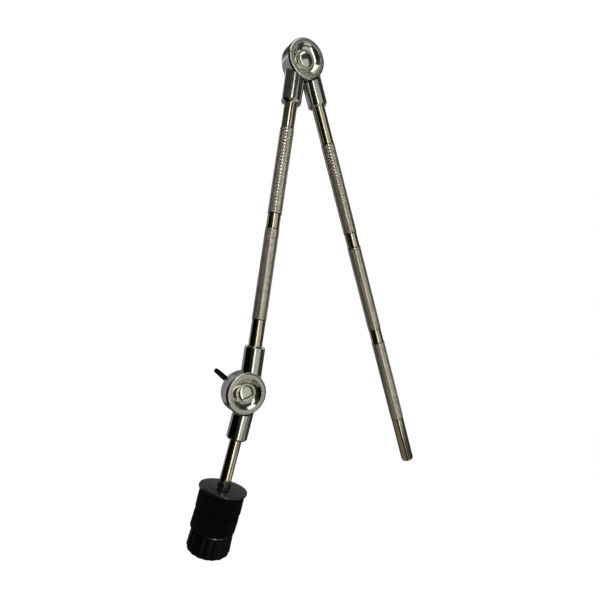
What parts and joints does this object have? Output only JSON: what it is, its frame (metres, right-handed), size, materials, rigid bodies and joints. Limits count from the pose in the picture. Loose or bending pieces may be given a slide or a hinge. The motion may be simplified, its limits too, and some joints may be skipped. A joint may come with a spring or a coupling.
{
  "type": "folding cymbal boom arm",
  "caption": "Knurled boom arm that folds at two dished ratchet tilters, with a plain clamping end and a felted, ribbed-knob seat on its far stud.",
  "frame": {"origin": "on the mounting rod's centre line, at the middle of its plain clamping length", "axes": "+Z along the mounting rod towards the upper tilter; both tilters turn about +Y, with their dished faces on -Y and wing nuts on +Y; the folded arm lies on the -X side"},
  "size_m": [0.1913, 0.0369, 0.3327],
  "materials": {
    "nickel_plated_steel": "warm nickel plate, knurled in bands",
    "chrome_plated_zinc": "polished chrome plate on die-cast zinc",
    "bright_chrome": "mirror polished",
    "zinc_plated_steel": "zinc plated, dull",
    "black_nylon": "moulded, fine texture",
    "black_abs": "semi-gloss moulding",
    "black_felt": "pressed wool felt",
    "brass": "turned"
  },
  "bodies": {
    "mount": {"mounting_rod": "nickel_plated_steel", "mounting_rod_end_plug": "nickel_plated_steel", "mounting_rod_set_screw": "zinc_plated_steel", "upper_rear_casting": "chrome_plated_zinc"},
    "arm": {"arm_rod": "nickel_plated_steel", "upper_front_casting": "chrome_plated_zinc", "upper_arm_set_screw": "zinc_plated_steel", "lower_front_casting": "chrome_plated_zinc", "lower_arm_set_screw": "zinc_plated_steel", "upper_dish_cup": "bright_chrome", "lower_dish_cup": "bright_chrome", "upper_clamp_bolt": "bright_chrome", "lower_clamp_bolt": "bright_chrome", "upper_release_spring": "zinc_plated_steel", "lower_release_spring": "zinc_plated_steel"},
    "upper_washer": {"upper_thrust_washer": "zinc_plated_steel"},
    "upper_nut": {"upper_wing_nut": "black_nylon", "upper_wing_nut_insert": "brass"},
    "lower_washer": {"lower_thrust_washer": "zinc_plated_steel"},
    "lower_nut": {"lower_wing_nut": "black_nylon", "lower_wing_nut_insert": "brass"},
    "seat_post": {"lower_rear_casting": "chrome_plated_zinc", "seat_rod": "nickel_plated_steel", "seat_rod_set_screw": "zinc_plated_steel", "flanged_sleeve": "black_abs", "upper_felt": "black_felt", "lower_felt": "black_felt"},
    "seat_clamp": {"clamp_washer": "zinc_plated_steel"},
    "knob": {"clamp_knob": "black_nylon", "clamp_knob_insert": "brass"}
  },
  "joints": [
    {"name": "upper_tilt", "type": "hinge", "parent": "mount", "child": "arm", "pos_m": [-0.0039, 0, 0.2962], "axis": [0, 1, 0], "range_deg": [0, 230]},
    {"name": "lower_tilt", "type": "hinge", "parent": "arm", "child": "seat_post", "pos_m": [-0.11581, 0, 0.09374], "axis": [0, 1, 0], "range_deg": [-85, 145]},
    {"name": "upper_nut_travel", "type": "slide", "parent": "arm", "child": "upper_washer", "axis": [0, 1, 0], "range_m": [0, 0.002]},
    {"name": "upper_nut_turn", "type": "hinge", "parent": "upper_washer", "child": "upper_nut", "pos_m": [-0.0039, 0, 0.2962], "axis": [0, 1, 0], "range_deg": [0, 720]},
    {"name": "lower_nut_travel", "type": "slide", "parent": "arm", "child": "lower_washer", "axis": [0, 1, 0], "range_m": [0, 0.002]},
    {"name": "lower_nut_turn", "type": "hinge", "parent": "lower_washer", "child": "lower_nut", "pos_m": [-0.11581, 0, 0.09374], "axis": [0, 1, 0], "range_deg": [0, 720]},
    {"name": "knob_travel", "type": "slide", "parent": "seat_post", "child": "seat_clamp", "axis": [-0.5577, 0, -0.83], "range_m": [0, 0.004]},
    {"name": "knob_turn", "type": "hinge", "parent": "seat_clamp", "child": "knob", "pos_m": [-0.11257, 0, 0.09156], "axis": [-0.5577, 0, -0.83], "range_deg": [0, 1440]}
  ],
  "couplings": [
    {"joint": "upper_nut_travel", "follows": "upper_nut_turn", "m_per_rad": 0.00015915},
    {"joint": "lower_nut_travel", "follows": "lower_nut_turn", "m_per_rad": 0.00015915},
    {"joint": "knob_travel", "follows": "knob_turn", "m_per_rad": 0.00015915}
  ]
}
